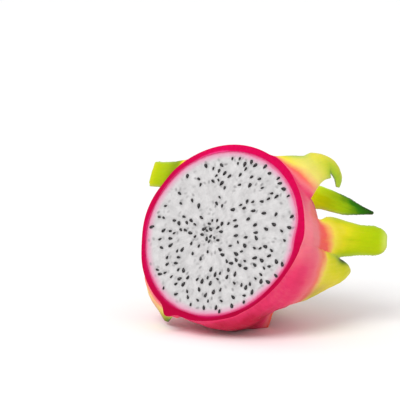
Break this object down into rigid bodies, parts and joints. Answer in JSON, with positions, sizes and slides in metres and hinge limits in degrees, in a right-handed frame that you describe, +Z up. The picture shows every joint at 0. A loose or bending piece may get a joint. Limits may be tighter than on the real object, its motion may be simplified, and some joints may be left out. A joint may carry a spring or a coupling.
{
  "type": "dragon fruit half",
  "caption": "Half of a red dragon fruit lying on its side: pink rind cup with curling yellow-green leafy scales, white pulp with black seeds on the cut face.",
  "frame": {"origin": "middle of the outline seen from above, on the surface that the half lies on", "axes": "+Z up; the cut face looks towards -Y and leans back 26 degrees from upright; +X is to the right of someone facing the cut face"},
  "size_m": [0.1166, 0.0902, 0.0882],
  "materials": {
    "peel": "satin, waxy; hot pink with yellow-green scale tips",
    "flesh": "moist, translucent; white with black seeds"
  },
  "bodies": {
    "root": {"peel": "peel", "flesh": "flesh"}
  },
  "joints": []
}
